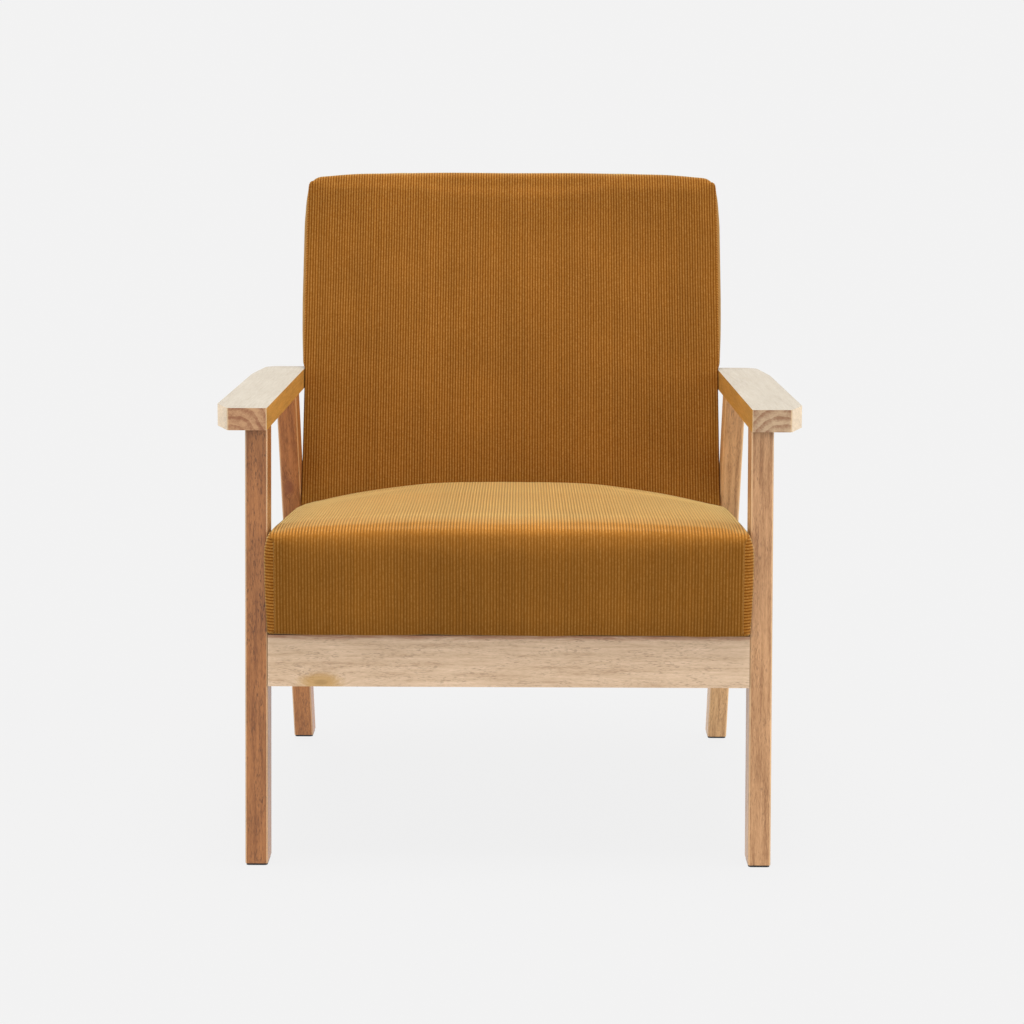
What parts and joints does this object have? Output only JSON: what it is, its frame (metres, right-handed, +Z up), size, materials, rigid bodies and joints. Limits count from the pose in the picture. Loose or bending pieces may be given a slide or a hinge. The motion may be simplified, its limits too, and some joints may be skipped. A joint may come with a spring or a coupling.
{
  "type": "wooden armchair",
  "caption": "Low lounge armchair: straight splayed wooden legs, flat armrests, front rail, and a ribbed-corduroy seat and leaning back.",
  "frame": {"origin": "on the floor, midway between left and right and midway along the chair's overall depth", "axes": "+X to the chair's right side as seen from in front, +Y from the front of the chair to its back, +Z up"},
  "size_m": [0.69, 0.7587, 0.7968],
  "materials": {
    "wood_warm": "satin",
    "wood_pale": "satin",
    "frame_pine": "matte",
    "dowel_beech": "matte",
    "corduroy": "matte",
    "foam": "matte",
    "wadding": "matte",
    "webbing": "matte",
    "dust_cloth": "matte",
    "panel_board": "matte",
    "glide_plastic": "matte",
    "zinc_steel": "satin",
    "insert_brass": "satin"
  },
  "bodies": {
    "root": {"left_front_leg": "wood_warm", "right_front_leg": "wood_warm", "left_rear_leg": "wood_warm", "right_rear_leg": "wood_warm", "left_armrest": "wood_pale", "right_armrest": "wood_pale", "left_side_rail": "wood_warm", "right_side_rail": "wood_warm", "front_rail": "wood_pale", "rear_rail": "wood_pale", "corner_blocks": "frame_pine", "foot_glides": "glide_plastic", "seat_frame_front": "frame_pine", "seat_frame_rear": "frame_pine", "seat_frame_left": "frame_pine", "seat_frame_right": "frame_pine", "seat_webbing_long": "webbing", "seat_webbing_cross": "webbing", "seat_foam": "foam", "seat_wadding": "wadding", "seat_cover": "corduroy", "seat_dust_cover": "dust_cloth", "seat_screws": "zinc_steel", "back_frame_left": "frame_pine", "back_frame_right": "frame_pine", "back_frame_top": "frame_pine", "back_frame_bottom": "frame_pine", "back_webbing": "webbing", "back_foam": "foam", "back_rear_panel": "panel_board", "back_cover": "corduroy", "back_bolts": "zinc_steel", "back_washers": "zinc_steel", "back_inserts": "insert_brass", "rail_bolts": "zinc_steel", "barrel_nuts": "zinc_steel", "rail_dowels": "dowel_beech", "side_rail_dowels": "dowel_beech", "arm_dowels": "dowel_beech"}
  },
  "joints": []
}
